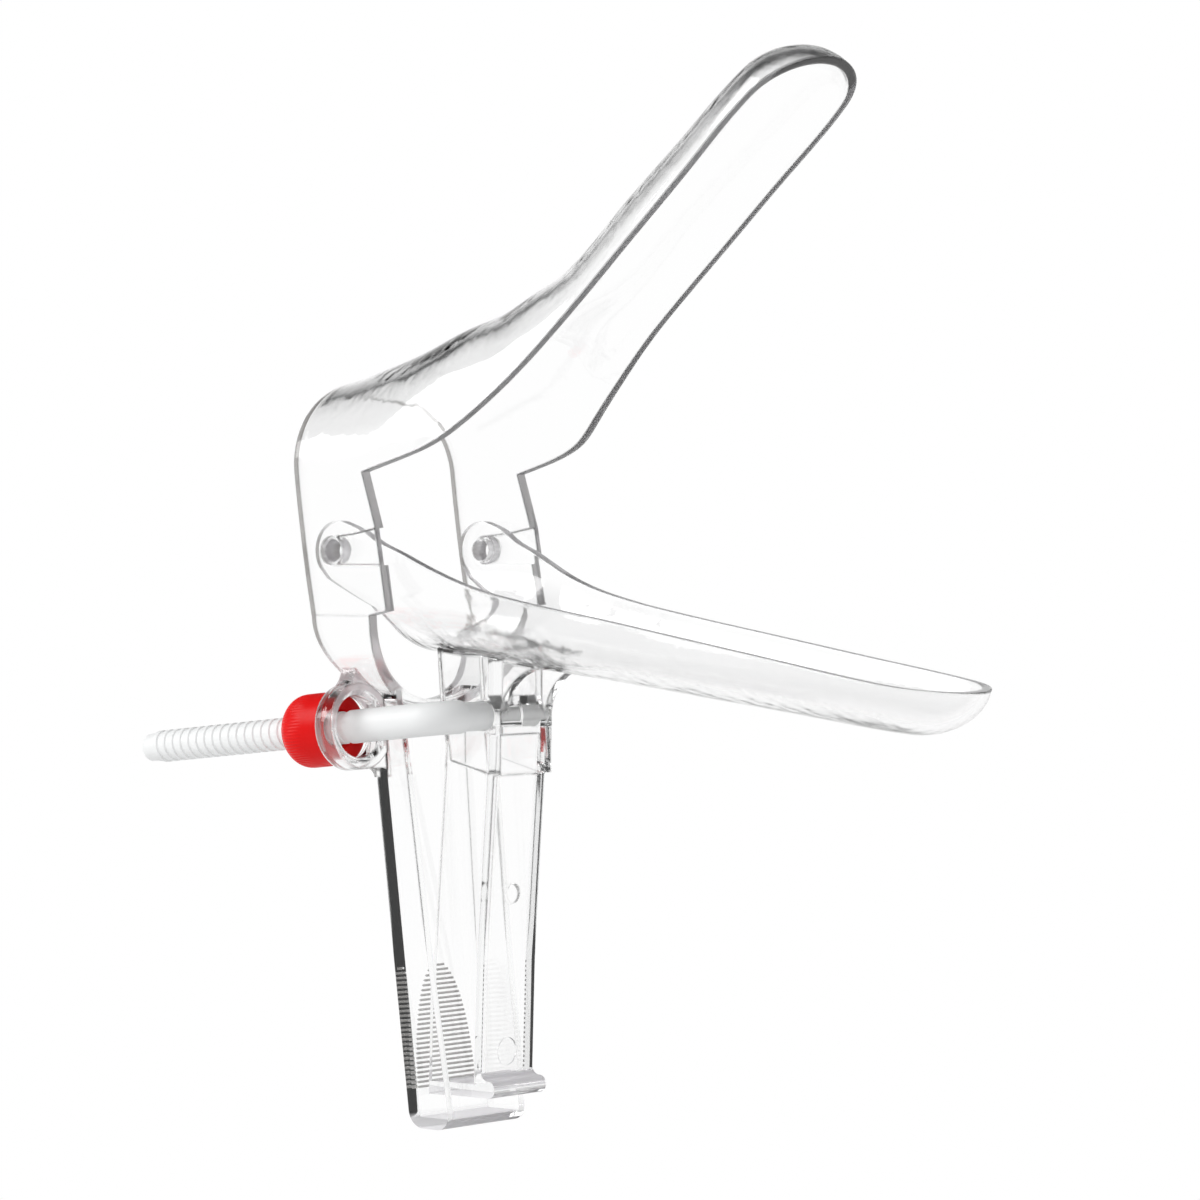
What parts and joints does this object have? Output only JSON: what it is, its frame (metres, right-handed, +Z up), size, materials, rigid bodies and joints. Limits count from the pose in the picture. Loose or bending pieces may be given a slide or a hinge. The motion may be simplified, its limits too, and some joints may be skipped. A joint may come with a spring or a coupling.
{
  "type": "bivalve speculum",
  "caption": "Clear two-bladed speculum with squeeze handles, a side screw and a red lock nut, held open.",
  "frame": {"origin": "middle of the hinge line that joins the two valves", "axes": "+X forward along the blades, +Z up away from the handles, +Y to the side away from the screw"},
  "size_m": [0.1592, 0.0443, 0.1731],
  "materials": {
    "clear": "polished, see-through",
    "white": "moulded",
    "red": "moulded, grooved"
  },
  "bodies": {
    "lower": {"lower_valve": "clear"},
    "upper": {"upper_valve": "clear"},
    "screw": {"screw_rod": "white"},
    "nut": {"lock_nut": "red"}
  },
  "joints": [
    {"name": "blade_hinge", "type": "hinge", "parent": "lower", "child": "upper", "pos_m": [0, 0, 0], "axis": [0, 1, 0], "range_deg": [0, 51]},
    {"name": "screw_pivot", "type": "hinge", "parent": "lower", "child": "screw", "pos_m": [0.0207, 0, -0.0269], "axis": [0, 1, 0], "range_deg": [0, 17]},
    {"name": "nut_travel", "type": "slide", "parent": "screw", "child": "nut", "axis": [-0.9949, 0, -0.1011], "range_m": [0, 0.031]}
  ],
  "couplings": [
    {"joint": "screw_pivot", "follows": "blade_hinge", "ratio": 0.313},
    {"joint": "nut_travel", "follows": "blade_hinge", "m_per_rad": 0.0335}
  ]
}
